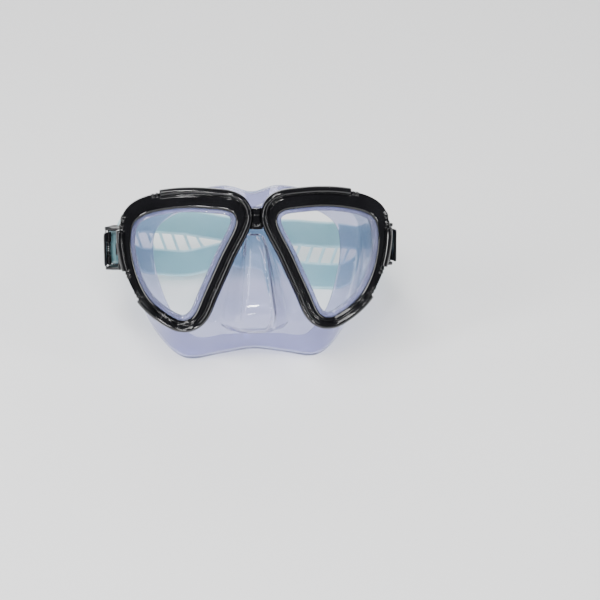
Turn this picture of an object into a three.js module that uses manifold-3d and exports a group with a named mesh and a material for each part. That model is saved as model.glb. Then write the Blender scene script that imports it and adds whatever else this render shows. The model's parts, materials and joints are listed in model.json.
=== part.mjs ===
// A two-window snorkelling mask: black frame, clear silicone skirt with a nose pocket, tempered
// windows, swivelling strap buckles and a split head strap. Millimetres.
//
// Everything is drawn in the mask's own frame first: x towards the wearer's left, y towards the
// face, z up, with the origin between the two windows on the front of the glass. The finished mask
// is then leaned back on its strap and set down on the plane z = 0.
import * as THREE from "three";
import { mergeVertices } from "three/addons/utils/BufferGeometryUtils.js";
import Module from "manifold-3d";

const wasm = await Module();
wasm.setup();

// ---------------------------------------------------------------- driving dimensions
const LEAN = THREE.MathUtils.degToRad(32.9); // how far the mask leans back where it rests
const LOOP_STEPS = 48; // points round each window
const SWEEP = 0.045; // how fast the windows run back towards the temples
const SWEEP_FROM = 12; // half the width of the rounded middle of that sweep

const GLASS = 4; // thickness of a window
const FIT = 0.3; // clearance between separate pieces
const WALL = 2; // wall of the skirt

const GLASS_OVER_SIGHT = 3.0; // the glass runs this far under its clear seal
const SEAL_FRONT = -1.6; // front of the clear seal round the glass
const SEAL_GROWTH = 4.6; // outside of that seal, from the sight line
const BEZEL_LIP = 2.7; // the black bezel leaves this much clear seal in view
const BEZEL_FRONT = -4;
const BEAD_FRONT = -5.8; // front of the raised bead on the bezel
const BEAD_WIDTH = 4;
const BEAD_PROUD = 1.8; // how far the bead stands out past the bezel's plain edge
const FRAME_FRONT = 1.8;
const FRAME_BACK = 12;
const SKIRT_FRONT = FRAME_BACK + FIT;

const PIVOT = { y: 25, z: -1 }; // axis of the swivelling buckles, along x
const LUG_IN = 76; // inner face of the frame's lug
const LUG_OUT = 79.3;
const ROLLER = { x: 83, y: 40, radius: 1.9 }; // the strap turns back round it
const LEVER_PIN = { x: 87.2, y: 31.5, radius: 0.9 };
const STRAP_THICK = 1.6;
const STRAP_NARROW = 20; // strap width at the buckles
const STRAP_WIDE = 45; // strap height at the back of the head
const STRAP_WAIST = 33; // and in the middle there
const STRAP_BACK = 88; // how far back the strap reaches
const CHEEK_IN = STRAP_NARROW / 2 + 1; // inner face of a buckle cheek, from the buckle's middle
const CHEEK_OUT = CHEEK_IN + 1.8;

// ---------------------------------------------------------------- materials
const material = (color, roughness, metalness = 0, opacity = 1) =>
  new THREE.MeshStandardMaterial({ color, roughness, metalness, opacity, transparent: opacity < 1 });
const blackShell = material(0x0b0b0d, 0.12);
const blackMoulding = material(0x121214, 0.35);
const glass = material(0xe6f0ee, 0.03, 0, 0.25);
const clearSilicone = material(0xd9dcea, 0.15, 0, 0.45);
const blueSilicone = material(0x9fc3cc, 0.3, 0, 0.8);
const steel = material(0xb9bcc0, 0.25, 1);

// ---------------------------------------------------------------- solids
const v2 = (x, z) => new THREE.Vector2(x, z);
const v3 = (x, y, z) => new THREE.Vector3(x, y, z);

// A closed three.js geometry as a manifold-3d solid.
function solid(geometry) {
  const bare = geometry.index ? geometry.toNonIndexed() : geometry.clone();
  bare.deleteAttribute("normal");
  bare.deleteAttribute("uv");
  const merged = mergeVertices(bare, 1e-3);
  return new wasm.Manifold(
    new wasm.Mesh({
      numProp: 3,
      vertProperties: merged.attributes.position.array,
      triVerts: new Uint32Array(merged.index.array),
    }),
  );
}

// A manifold-3d solid as a three.js geometry.
function geometryOf(shape) {
  const mesh = shape.getMesh();
  const geometry = new THREE.BufferGeometry();
  geometry.setAttribute("position", new THREE.BufferAttribute(mesh.vertProperties, 3));
  geometry.setIndex(new THREE.BufferAttribute(mesh.triVerts, 1));
  geometry.computeVertexNormals();
  return geometry;
}

// A flat outline in x and z, drawn out from y = from to y = to.
function plate(outline, from, to) {
  const geometry = new THREE.ExtrudeGeometry(new THREE.Shape(outline), {
    depth: to - from,
    bevelEnabled: false,
    curveSegments: 1,
  });
  geometry.rotateX(Math.PI / 2);
  geometry.translate(0, to, 0);
  return solid(geometry);
}

// A flat outline in x and y, drawn up from z = from to z = to.
function slab(outline, from, to) {
  const geometry = new THREE.ExtrudeGeometry(new THREE.Shape(outline), {
    depth: to - from,
    bevelEnabled: false,
    curveSegments: 1,
  });
  geometry.translate(0, 0, from);
  return solid(geometry);
}

function box(low, high) {
  const size = high.clone().sub(low);
  const geometry = new THREE.BoxGeometry(size.x, size.y, size.z);
  geometry.translate(low.x + size.x / 2, low.y + size.y / 2, low.z + size.z / 2);
  return solid(geometry);
}

// A round bar between two points.
function bar(from, to, radius, sides = 20) {
  const along = to.clone().sub(from);
  const geometry = new THREE.CylinderGeometry(radius, radius, along.length(), sides);
  const turn = new THREE.Quaternion().setFromUnitVectors(v3(0, 1, 0), along.clone().normalize());
  geometry.applyQuaternion(turn);
  const middle = from.clone().add(to).multiplyScalar(0.5);
  geometry.translate(middle.x, middle.y, middle.z);
  return solid(geometry);
}

// A closed skin through rings of points, each ring as long as the last, with both ends filled in
// round their middles.
function loft(rings) {
  const count = rings[0].length;
  const points = rings.flat();
  const faces = [];
  for (let ring = 0; ring + 1 < rings.length; ring++) {
    for (let i = 0; i < count; i++) {
      const next = (i + 1) % count;
      const a = ring * count + i;
      const b = ring * count + next;
      faces.push(a, b, b + count, a, b + count, a + count);
    }
  }
  const fill = (ring, flip) => {
    const middle = points.length;
    const sum = rings[ring].reduce((total, p) => total.add(p), v3(0, 0, 0));
    points.push(sum.multiplyScalar(1 / count));
    for (let i = 0; i < count; i++) {
      const a = ring * count + i;
      const b = ring * count + ((i + 1) % count);
      faces.push(...(flip ? [middle, b, a] : [middle, a, b]));
    }
  };
  fill(0, true);
  fill(rings.length - 1, false);
  const geometry = new THREE.BufferGeometry().setFromPoints(points);
  geometry.setIndex(faces);
  const made = solid(geometry);
  return made.volume() > 0 ? made : solid(geometry.setIndex(faces.reverse()));
}

const join = (...shapes) => shapes.reduce((sum, shape) => sum.add(shape));

// Runs the flat front back towards the temples. Each window stays flat.
const sweepAt = (x) =>
  Math.abs(x) > SWEEP_FROM
    ? SWEEP * (Math.abs(x) - SWEEP_FROM / 2)
    : (SWEEP * x * x) / (2 * SWEEP_FROM);

function swept(shape) {
  return shape.warp((vertex) => {
    vertex[1] += sweepAt(vertex[0]);
  });
}

// ---------------------------------------------------------------- outlines
// The edge of what the wearer sees through the left window, anticlockwise from the nose corner.
const SIGHT = [
  v2(14.9, 18.8),
  v2(24.4, -2.4),
  v2(34, -23.7),
  v2(40.2, -36.8),
  v2(43.8, -38.7),
  v2(51, -35.2),
  v2(60.5, -27),
  v2(66.9, -15.5),
  v2(70.3, -3),
  v2(71, 8.5),
  v2(69.2, 15.6),
  v2(64, 19.2),
  v2(53, 21.8),
  v2(40, 22.8),
  v2(28, 22.2),
  v2(17.2, 20.7),
];

// A closed smooth line through points in x and z.
function smoothLoop(points, steps) {
  const curve = new THREE.CatmullRomCurve3(
    points.map((p) => v3(p.x, p.y, 0)),
    true,
    "centripetal",
  );
  return curve.getSpacedPoints(steps).slice(0, steps).map((p) => v2(p.x, p.y));
}

const sightLoop = smoothLoop(SIGHT, LOOP_STEPS);

// Which way is out at each point of an anticlockwise loop.
function outward(loop, i) {
  const before = loop[(i + loop.length - 1) % loop.length];
  const after = loop[(i + 1) % loop.length];
  return v2(after.y - before.y, before.x - after.x).normalize();
}

// A loop moved outwards by growth, which is a distance or a function of the outward direction.
function grown(loop, growth) {
  const distance = typeof growth === "function" ? growth : () => growth;
  return loop.map((p, i) => {
    const out = outward(loop, i);
    return p.clone().addScaledVector(out, distance(out));
  });
}

const mirrored = (loop) => loop.map((p) => v2(-p.x, p.y)).reverse();

// How far the raised bead's outer edge lies from the sight line: most over the brow.
const beadEdge = (out) =>
  11.2 + 2.7 * out.y + 1.1 * out.y * out.y + 1.2 * Math.max(0, -out.x);
const bezelEdge = (out) => beadEdge(out) - BEAD_PROUD;
const frameEdge = (out) => bezelEdge(out) - 0.6;

// ---------------------------------------------------------------- the left half's flat pieces
function lensShape() {
  return swept(plate(grown(sightLoop, GLASS_OVER_SIGHT), 0, GLASS));
}

// The bead runs over the brow, down beside the nose and under the window, with a short length of
// its own at the temple. Each length is cut out of a full ring by a wedge from the window's middle.
const WINDOW_MIDDLE = v2(45, -2);
const BEAD_LENGTHS = [
  { from: 68, to: 309 },
  { from: -16, to: 27 },
]; // degrees round WINDOW_MIDDLE, 0 towards the temple and 90 up

function wedge({ from, to }) {
  const reach = 90;
  const outline = [WINDOW_MIDDLE.clone()];
  const steps = Math.ceil((to - from) / 30);
  for (let i = 0; i <= steps; i++) {
    const angle = THREE.MathUtils.degToRad(from + ((to - from) * i) / steps);
    outline.push(
      v2(WINDOW_MIDDLE.x + reach * Math.cos(angle), WINDOW_MIDDLE.y + reach * Math.sin(angle)),
    );
  }
  return plate(outline, BEAD_FRONT - 1, FRAME_FRONT + 1);
}

function bezelShape() {
  const ring = plate(grown(sightLoop, bezelEdge), BEZEL_FRONT, FRAME_FRONT - FIT);
  const beadRing = plate(grown(sightLoop, beadEdge), BEAD_FRONT, FRAME_FRONT - FIT - 1.2).subtract(
    plate(grown(sightLoop, (out) => beadEdge(out) - BEAD_WIDTH), BEAD_FRONT - 1, BEZEL_FRONT + 1),
  );
  const beads = BEAD_LENGTHS.map((length) => beadRing.intersect(wedge(length)));
  return swept(
    join(ring, ...beads)
      .subtract(plate(grown(sightLoop, BEZEL_LIP), BEAD_FRONT - 1, FRAME_FRONT + 1))
      .subtract(plate(grown(sightLoop, SEAL_GROWTH + FIT), SEAL_FRONT - FIT, FRAME_FRONT + 1)),
  );
}

// ---------------------------------------------------------------- frame
const BRIDGE_TOP = 25.2;
const BRIDGE_BOTTOM = 12.5;

function bridgeOutline(half) {
  return [
    v2(-half, BRIDGE_BOTTOM),
    v2(half, BRIDGE_BOTTOM),
    v2(half + 3, BRIDGE_TOP),
    v2(-half - 3, BRIDGE_TOP),
  ];
}

function lugShape() {
  const outline = [
    v2(LUG_IN, PIVOT.z - 9),
    v2(LUG_OUT, PIVOT.z - 9),
    v2(LUG_OUT, PIVOT.z + 9),
    v2(LUG_IN, PIVOT.z + 9),
  ];
  const arm = plate(outline, FRAME_FRONT + 7, PIVOT.y);
  const nose = bar(v3(LUG_IN, PIVOT.y, PIVOT.z), v3(LUG_OUT, PIVOT.y, PIVOT.z), 9, 28);
  const backStop = plate(outline, PIVOT.y + 5, PIVOT.y + 12);
  const hole = bar(v3(LUG_IN - 1, PIVOT.y, PIVOT.z), v3(LUG_OUT + 1, PIVOT.y, PIVOT.z), 2.5 + FIT);
  return join(arm, nose).subtract(backStop).subtract(hole);
}

function frameShape() {
  const half = plate(grown(sightLoop, frameEdge), FRAME_FRONT, FRAME_BACK);
  const otherHalf = plate(mirrored(grown(sightLoop, frameEdge)), FRAME_FRONT, FRAME_BACK);
  const seat = grown(sightLoop, SEAL_GROWTH + FIT);
  const bridge = plate(bridgeOutline(5), FRAME_FRONT, FRAME_BACK);
  const flat = join(half, otherHalf, bridge)
    .subtract(plate(seat, FRAME_FRONT - 1, FRAME_BACK + 1))
    .subtract(plate(mirrored(seat), FRAME_FRONT - 1, FRAME_BACK + 1));
  const lug = lugShape();
  return join(swept(flat), lug, lug.mirror([1, 0, 0]));
}

// The small cover between the two bezels, over the bridge of the nose.
function bridgeCoverShape() {
  const clear = grown(sightLoop, (out) => beadEdge(out) + FIT);
  return swept(
    plate(bridgeOutline(6), BEZEL_FRONT + 1.4, FRAME_FRONT - FIT)
      .subtract(plate(clear, BEAD_FRONT - 1, FRAME_FRONT + 1))
      .subtract(plate(mirrored(clear), BEAD_FRONT - 1, FRAME_FRONT + 1)),
  );
}

// ---------------------------------------------------------------- skirt
const SKIRT_STEPS = 56;

// Right half of a left-right symmetric loop, from the top middle to the bottom middle.
function symmetricLoop(half, steps) {
  const other = half
    .slice(1, -1)
    .reverse()
    .map((p) => v3(-p.x, p.y, p.z));
  const curve = new THREE.CatmullRomCurve3([...half, ...other], true, "centripetal");
  return curve.getSpacedPoints(steps).slice(0, steps);
}

// Where the skirt leaves the back of the frame.
const SKIRT_ROOT = [
  v3(0, SKIRT_FRONT, 21.5),
  v3(16, SKIRT_FRONT, 28.5),
  v3(39, SKIRT_FRONT, 31),
  v3(62, SKIRT_FRONT, 26.5),
  v3(73.5, SKIRT_FRONT, 17),
  v3(75.3, SKIRT_FRONT, 4),
  v3(73.5, SKIRT_FRONT, -12),
  v3(67, SKIRT_FRONT, -27),
  v3(56, SKIRT_FRONT, -40),
  v3(42, SKIRT_FRONT, -44.5),
  v3(22, SKIRT_FRONT, -45.5),
  v3(0, SKIRT_FRONT, -45.5),
];

// The outer bend of the face seal, which follows brow, temples, cheeks and upper lip.
const SKIRT_BEND = [
  v3(0, 25, 33),
  v3(15, 26.5, 37),
  v3(38, 31, 32.8),
  v3(60, 39, 24),
  v3(72, 46, 12),
  v3(74.5, 47, -6),
  v3(70.5, 43, -28),
  v3(60, 35.5, -53),
  v3(42, 28.5, -70),
  v3(20, 24.5, -67),
  v3(0, 23.5, -64),
];
const SEAL_MIDDLE = v2(0, -9);

// The bend, drawn in by inset and scaled towards the middle of the face, and moved back.
function sealRing(inset, share, back) {
  const bend = symmetricLoop(SKIRT_BEND, SKIRT_STEPS);
  return bend.map((p) => {
    const out = v2(p.x - SEAL_MIDDLE.x, p.z - SEAL_MIDDLE.y);
    const length = out.length();
    out.multiplyScalar(((length - inset) * share) / length);
    return v3(SEAL_MIDDLE.x + out.x, p.y + back, SEAL_MIDDLE.y + out.y);
  });
}

function rootRing(inset, back) {
  const root = symmetricLoop(SKIRT_ROOT, SKIRT_STEPS);
  return root.map((p) => {
    const out = v2(p.x - SEAL_MIDDLE.x, p.z - SEAL_MIDDLE.y);
    const length = out.length();
    out.multiplyScalar((length - inset) / length);
    return v3(SEAL_MIDDLE.x + out.x, p.y + back, SEAL_MIDDLE.y + out.y);
  });
}

// One level of the nose pocket: half widths at the front and the base, and how far forward it is.
const NOSE_LEVELS = [
  { z: -49, front: 6, base: 16, reach: 7 },
  { z: -46.5, front: 9, base: 20.5, reach: -1 },
  { z: -38.5, front: 10.6, base: 21, reach: -12.5 },
  { z: -35, front: 10.3, base: 20.3, reach: -13.5 },
  { z: -18, front: 8.6, base: 16.5, reach: -8 },
  { z: 0, front: 6.6, base: 9.5, reach: -1 },
  { z: 6, front: 5, base: 7.2, reach: 4 },
  { z: 9, front: 3.2, base: 5.2, reach: 9 },
];

// The underside hangs lower in the middle than at its sides.
const NOSE_DROOP = 3;

function drooped(point) {
  const low = THREE.MathUtils.clamp((NOSE_LEVELS[2].z - point.z) / 8, 0, 1);
  point.z -= NOSE_DROOP * low * Math.max(0, 1 - (point.x / 20) ** 2);
  return point;
}

function noseShape(inset, base) {
  const last = NOSE_LEVELS.length - 1;
  const rings = NOSE_LEVELS.map((level, i) => {
    const z = level.z + (i === 0 ? inset : i === last ? -inset : 0);
    const front = Math.max(1, level.front - inset * 0.8);
    const wide = Math.max(2, level.base - inset);
    const reach = level.reach + inset;
    const round = Math.min(2.2, front * 0.6);
    return [
      v3(wide, base, z),
      v3(wide, SKIRT_FRONT, z),
      v3(front + 0.5 * (wide - front) * 0.5, reach + 0.32 * (SKIRT_FRONT - reach), z),
      v3(front, reach + round, z),
      v3(front - round, reach, z),
      v3(-front + round, reach, z),
      v3(-front, reach + round, z),
      v3(-front - 0.5 * (wide - front) * 0.5, reach + 0.32 * (SKIRT_FRONT - reach), z),
      v3(-wide, SKIRT_FRONT, z),
      v3(-wide, base, z),
    ].map(drooped);
  });
  return loft(rings);
}

function skirtShape() {
  const outside = loft([
    rootRing(0, 0),
    sealRing(0, 1, 0),
    sealRing(0.3, 1, 4),
    sealRing(3, 1, 7),
  ]);
  const inside = loft([
    rootRing(WALL, WALL),
    sealRing(WALL, 1, 0),
    sealRing(WALL + 0.3, 1, 3),
    sealRing(WALL + 3, 0.97, 5),
    sealRing(WALL + 3, 0.84, 5.2),
    sealRing(WALL + 3, 0.84, 12),
  ]);
  const seals = [sightLoop, mirrored(sightLoop)].map((loop) => ({
    tube: plate(grown(loop, SEAL_GROWTH), SEAL_FRONT, SKIRT_FRONT + WALL),
    sight: plate(loop, SEAL_FRONT - 1, GLASS + FIT + 0.1),
    pocket: plate(grown(loop, GLASS_OVER_SIGHT + FIT), -FIT, GLASS + FIT),
    throat: plate(grown(loop, SEAL_GROWTH - WALL), GLASS + 1.6, SKIRT_FRONT + WALL + 1),
    ledge: plate(grown(loop, 0.6), GLASS, GLASS + 2),
  }));
  const material = join(outside, noseShape(0, SKIRT_FRONT + 4), ...seals.map((s) => s.tube));
  const hollow = join(
    inside,
    noseShape(WALL, SKIRT_FRONT + 6),
    ...seals.flatMap((s) => [s.sight, s.pocket, s.throat, s.ledge]),
  );
  return swept(material.subtract(hollow));
}

// ---------------------------------------------------------------- buckles (left one; mirrored)
const buckleTop = PIVOT.z + CHEEK_OUT;
const buckleBottom = PIVOT.z - CHEEK_OUT;
const PLATE_IN = LUG_OUT + FIT;
const PLATE_OUT = PLATE_IN + 1.8;

function pivotStudShape() {
  const head = PLATE_OUT + FIT;
  const shank = bar(v3(LUG_IN, PIVOT.y, PIVOT.z), v3(head + 1.2, PIVOT.y, PIVOT.z), 2.5, 24);
  const cap = bar(v3(head, PIVOT.y, PIVOT.z), v3(head + 1.2, PIVOT.y, PIVOT.z), 4, 24);
  return join(shank, cap);
}

const CHEEK = [
  v2(PLATE_IN, 26),
  v2(PLATE_IN + 5.2, 26),
  v2(PLATE_IN + 9.2, 29.5),
  v2(PLATE_IN + 9.2, 34),
  v2(PLATE_IN + 6.4, 43),
  v2(PLATE_IN, 43),
];

function buckleBodyShape() {
  const disc = bar(v3(PLATE_IN, PIVOT.y, PIVOT.z), v3(PLATE_OUT, PIVOT.y, PIVOT.z), 8.5, 28);
  const back = box(v3(PLATE_IN, PIVOT.y, buckleBottom), v3(PLATE_OUT, 35.5, buckleTop));
  const cheeks = [
    slab(CHEEK, PIVOT.z + CHEEK_IN, buckleTop),
    slab(CHEEK, buckleBottom, PIVOT.z - CHEEK_IN),
  ];
  const holes = [
    bar(v3(LUG_OUT, PIVOT.y, PIVOT.z), v3(PLATE_OUT + 1, PIVOT.y, PIVOT.z), 2.5 + FIT, 24),
    bar(v3(ROLLER.x, ROLLER.y, -20), v3(ROLLER.x, ROLLER.y, 20), 1 + FIT, 16),
    bar(v3(LEVER_PIN.x, LEVER_PIN.y, -20), v3(LEVER_PIN.x, LEVER_PIN.y, 20), LEVER_PIN.radius + FIT, 16),
  ];
  return holes.reduce((shape, hole) => shape.subtract(hole), join(disc, back, ...cheeks));
}

const upright = (x, y, reach, radius, sides) =>
  bar(v3(x, y, PIVOT.z - reach), v3(x, y, PIVOT.z + reach), radius, sides);

function rollerShape() {
  const length = STRAP_NARROW / 2 + 0.6;
  return upright(ROLLER.x, ROLLER.y, length, ROLLER.radius, 20).subtract(
    upright(ROLLER.x, ROLLER.y, length + 1, 1 + FIT, 16),
  );
}

function leverShape() {
  const half = STRAP_NARROW / 2;
  const { x } = LEVER_PIN;
  const side = [
    v2(x + 1.2, 22.5),
    v2(x + 2.5, 21.5),
    v2(x + 2, 31),
    v2(x + 1.8, 46),
    v2(x + 0.5, 46),
    v2(x + 0.5, 30),
  ];
  const arm = slab(side, PIVOT.z - half, PIVOT.z + half);
  const barrel = upright(LEVER_PIN.x, LEVER_PIN.y, half, 1.9, 18);
  const pawl = slab([v2(x + 0.8, 41), v2(x, 42.2), v2(x + 0.8, 44)], PIVOT.z - 8, PIVOT.z + 8);
  const springGap = box(v3(x - 3.4, 28.6, PIVOT.z - 4), v3(x + 1.8, 34.4, PIVOT.z + 4));
  const pinHole = upright(LEVER_PIN.x, LEVER_PIN.y, half + 2, LEVER_PIN.radius + FIT, 16);
  return join(arm, barrel, pawl).subtract(springGap).subtract(pinHole);
}

// A torsion spring on the lever's pin, with one leg on the buckle and one under the thumb tab.
function springShape() {
  const turns = 3.5;
  const stepsPerTurn = 10;
  const radius = LEVER_PIN.radius + 0.55;
  const pitch = 1.3;
  const points = [];
  for (let i = 0; i <= turns * stepsPerTurn; i++) {
    const angle = (i / stepsPerTurn) * 2 * Math.PI;
    points.push(
      v3(
        LEVER_PIN.x + radius * Math.cos(angle),
        LEVER_PIN.y + radius * Math.sin(angle),
        PIVOT.z + pitch * (i / stepsPerTurn - turns / 2),
      ),
    );
  }
  const section = new THREE.Shape();
  section.absarc(0, 0, 0.25, 0, 2 * Math.PI);
  return solid(
    new THREE.ExtrudeGeometry(section, {
      steps: turns * stepsPerTurn,
      curveSegments: 3,
      bevelEnabled: false,
      extrudePath: new THREE.CatmullRomCurve3(points, false, "centripetal"),
    }),
  );
}

// ---------------------------------------------------------------- strap
const KEEPER = { from: 50, to: 55 };
const STRAP_SAG = 7.5; // how far the back of the loop hangs under the buckles
const SAG_FROM = 64; // and how far back that starts
const STRAP_ROLL = 0.11; // it hangs lower on the wearer's left
const STRAP_ARCH = 4; // and is this much higher in the middle
const TAIL_END = 66;
const TAIL_X = 83.4; // the free end lies this far out
const RUN_X = 81; // and the strap under it this far
const TAIL_LENGTH = 16; // straight length of the free end
const TURN_LENGTH = 34; // length of strap that turns back round the roller

// The strap's middle line seen from above, from the end of the left tail to the middle of the back.
const STRAP_ROUTE = [
  v2(TAIL_X, TAIL_END),
  v2(TAIL_X, 58),
  v2(TAIL_X, 50.5),
  v2(84.8, 45),
  v2(86, 40),
  v2(85.1, 37.9),
  v2(83, 37),
  v2(80.9, 37.9),
  v2(80, 40),
  v2(80.6, 45),
  v2(RUN_X, 50.5),
  v2(RUN_X, 58),
  v2(RUN_X, 65),
  v2(78.8, 72.5),
  v2(72, 79.5),
  v2(58, 84),
  v2(30, 87.3),
  v2(0, STRAP_BACK),
];

function strapCurve() {
  const left = STRAP_ROUTE.map((p) => v3(p.x, p.y, 0));
  const right = left
    .slice(0, -1)
    .reverse()
    .map((p) => v3(-p.x, p.y, 0));
  return new THREE.CatmullRomCurve3([...left, ...right], false, "centripetal");
}

// The split in the strap, on each side of the back of the head, by distances from the strap's
// middle. It comes to a point near the middle and is crossed by slanting ribs.
const SPLIT = { from: 12, to: 76, height: 10 };
const RIB = { from: 27, pitch: 8.1, width: 2, slant: 3.6 };

function splitHalfHeight(distance) {
  const share = (distance - SPLIT.from) / (SPLIT.to - SPLIT.from);
  if (share <= 0 || share >= 1) return 0;
  return (SPLIT.height / 2) * Math.min(1, share * 2.5, Math.sqrt((1 - share) * 6));
}

// Half the strap's height at a distance along it from the middle of the back.
function strapHalfHeight(distance) {
  const { lerp, smoothstep } = THREE.MathUtils;
  const pad = lerp(STRAP_WAIST / 2, STRAP_WIDE / 2, smoothstep(distance, 4, 42));
  return lerp(pad, STRAP_NARROW / 2, smoothstep(distance, 60, 98));
}

// How far the strap's middle line lies under the buckles' middle: it sags towards the back.
function strapDrop(point) {
  const { smoothstep } = THREE.MathUtils;
  const arch = STRAP_ARCH * (1 - smoothstep(Math.abs(point.x), 0, 45));
  return smoothstep(point.y, SAG_FROM, STRAP_BACK) * (STRAP_SAG + STRAP_ROLL * point.x - arch);
}

const ribStarts = [];
for (let d = RIB.from; d + RIB.width < SPLIT.to; d += RIB.pitch) ribStarts.push(d);
const isRib = (distance) =>
  ribStarts.some((start) => distance > start && distance < start + RIB.width);

// Distances from the middle of the strap to the stations it is built from, out to one end: every
// edge of the split and its ribs, close steps round the roller, and long steps elsewhere.
function halfStations(reach) {
  const marks = [
    { at: SPLIT.from, step: 6 },
    ...ribStarts.flatMap((start) => [
      { at: start, step: 8 },
      { at: start + RIB.width, step: 8 },
    ]),
    { at: SPLIT.to, step: 8 },
    { at: reach - TAIL_LENGTH - TURN_LENGTH, step: 5 },
    { at: reach - TAIL_LENGTH, step: 1.4 },
    { at: reach, step: 8 },
  ];
  const stations = [0];
  marks.forEach(({ at, step }) => {
    const from = stations[stations.length - 1];
    const count = Math.ceil((at - from) / step);
    for (let i = 1; i <= count; i++) stations.push(from + ((at - from) * i) / count);
  });
  return stations;
}

// The four rows of points across the strap at a station, on its inner or its outer face.
function strapRows(curve, length, along, depth) {
  const distance = Math.abs(along - length / 2);
  const edge = strapHalfHeight(distance);
  const open = splitHalfHeight(distance);
  const split = Math.max(open, edge * 0.1);
  const slant = open > 0 ? (RIB.slant / 2) * Math.sign(along - length / 2) : 0;
  const rows = [
    [along, -edge],
    [along - slant, -split],
    [along + slant, split],
    [along, edge],
  ];
  return rows.map(([at, height]) => {
    const share = at / length;
    const point = curve.getPointAt(share);
    const tangent = curve.getTangentAt(share);
    return v3(
      point.x - tangent.y * depth,
      point.y + tangent.x * depth,
      PIVOT.z + height - strapDrop(point),
    );
  });
}

// The strap is a grid of cells, rib and slot cells between two plain bands. Each cell that is there
// gets an inner and an outer face, and a wall on each side where its neighbour is missing.
function strapShape() {
  const curve = strapCurve();
  const length = curve.getLength();
  const half = halfStations(length / 2);
  const stations = [
    ...half.slice(1).reverse().map((d) => length / 2 - d),
    ...half.map((d) => length / 2 + d),
  ];
  const points = stations.flatMap((along) => [
    ...strapRows(curve, length, along, -STRAP_THICK / 2),
    ...strapRows(curve, length, along, STRAP_THICK / 2),
  ]);
  const filled = (i, row) => {
    if (i < 0 || i + 1 >= stations.length || row < 0 || row > 2) return false;
    if (row !== 1) return true;
    const distance = Math.abs((stations[i] + stations[i + 1]) / 2 - length / 2);
    return splitHalfHeight(distance) === 0 || isRib(distance);
  };
  const inner = (i, row) => i * 8 + row;
  const outer = (i, row) => i * 8 + 4 + row;
  const faces = [];
  const quad = (a, b, c, d) => faces.push(a, b, c, a, c, d);
  for (let i = 0; i + 1 < stations.length; i++) {
    for (let row = 0; row < 3; row++) {
      if (!filled(i, row)) continue;
      const [j, next] = [i + 1, row + 1];
      quad(inner(i, row), inner(i, next), inner(j, next), inner(j, row));
      quad(outer(i, row), outer(j, row), outer(j, next), outer(i, next));
      if (!filled(i, row - 1)) quad(inner(i, row), inner(j, row), outer(j, row), outer(i, row));
      if (!filled(i, next)) quad(outer(i, next), outer(j, next), inner(j, next), inner(i, next));
      if (!filled(i - 1, row)) quad(inner(i, row), outer(i, row), outer(i, next), inner(i, next));
      if (!filled(j, row)) quad(outer(j, row), inner(j, row), inner(j, next), outer(j, next));
    }
  }
  const geometry = new THREE.BufferGeometry().setFromPoints(points);
  geometry.setIndex(faces);
  const made = solid(geometry);
  return made.volume() > 0 ? made : solid(geometry.setIndex(faces.reverse()));
}

// The loop that holds the strap's free end down.
function keeperShape() {
  const inner = { low: RUN_X - STRAP_THICK / 2 - FIT, high: TAIL_X + STRAP_THICK / 2 + FIT };
  const half = STRAP_NARROW / 2 + FIT;
  return box(
    v3(inner.low - 1.2, KEEPER.from, PIVOT.z - half - 1.4),
    v3(inner.high + 1.2, KEEPER.to, PIVOT.z + half + 1.4),
  ).subtract(
    box(v3(inner.low, KEEPER.from - 1, PIVOT.z - half), v3(inner.high, KEEPER.to + 1, PIVOT.z + half)),
  );
}

// ---------------------------------------------------------------- assembly
const assembly = new THREE.Group();

function add(name, shape, finish) {
  const mesh = new THREE.Mesh(geometryOf(shape), finish);
  mesh.name = name;
  assembly.add(mesh);
}

// A piece for the wearer's left and its mirror image for the right.
function addPair(name, shape, finish) {
  add(`${name}_left`, shape, finish);
  add(`${name}_right`, shape.mirror([1, 0, 0]), finish);
}

add("main_frame", frameShape(), blackShell);
addPair("bezel", bezelShape(), blackShell);
add("bridge_cover", bridgeCoverShape(), blackMoulding);
addPair("lens", lensShape(), glass);
add("skirt", skirtShape(), clearSilicone);
addPair("pivot_stud", pivotStudShape(), blackMoulding);
addPair("buckle_body", buckleBodyShape(), blackMoulding);
addPair("strap_roller", rollerShape(), blackMoulding);
addPair("roller_axle", upright(ROLLER.x, ROLLER.y, CHEEK_OUT, 1, 16), steel);
addPair("release_lever", leverShape(), blackMoulding);
addPair("lever_pin", upright(LEVER_PIN.x, LEVER_PIN.y, CHEEK_OUT, LEVER_PIN.radius, 16), steel);
addPair("lever_spring", springShape(), steel);
add("head_strap", strapShape(), blueSilicone);
addPair("strap_keeper", keeperShape(), blueSilicone);

// Lean the mask back, then set the middle of its footprint's box on the origin.
assembly.rotation.x = -LEAN;
assembly.updateMatrixWorld(true);
const extent = new THREE.Box3().setFromObject(assembly, true);
assembly.position.set(0, -(extent.min.y + extent.max.y) / 2, -extent.min.z);

const mask = new THREE.Group();
mask.add(assembly);

export default mask;
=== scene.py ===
"""A two-window snorkelling mask leaning back on its strap, on a plain pale floor.

The hard and soft shells are modelled here at full detail in the mask's own upright frame, in
millimetres: x towards the wearer's left, y towards the face, z up, with the origin between the
windows on the front of the glass. place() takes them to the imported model's frame in metres.
"""

import json
import math

import bpy
import numpy as np
import openvdb as vdb
from mathutils import Matrix, Vector

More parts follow.
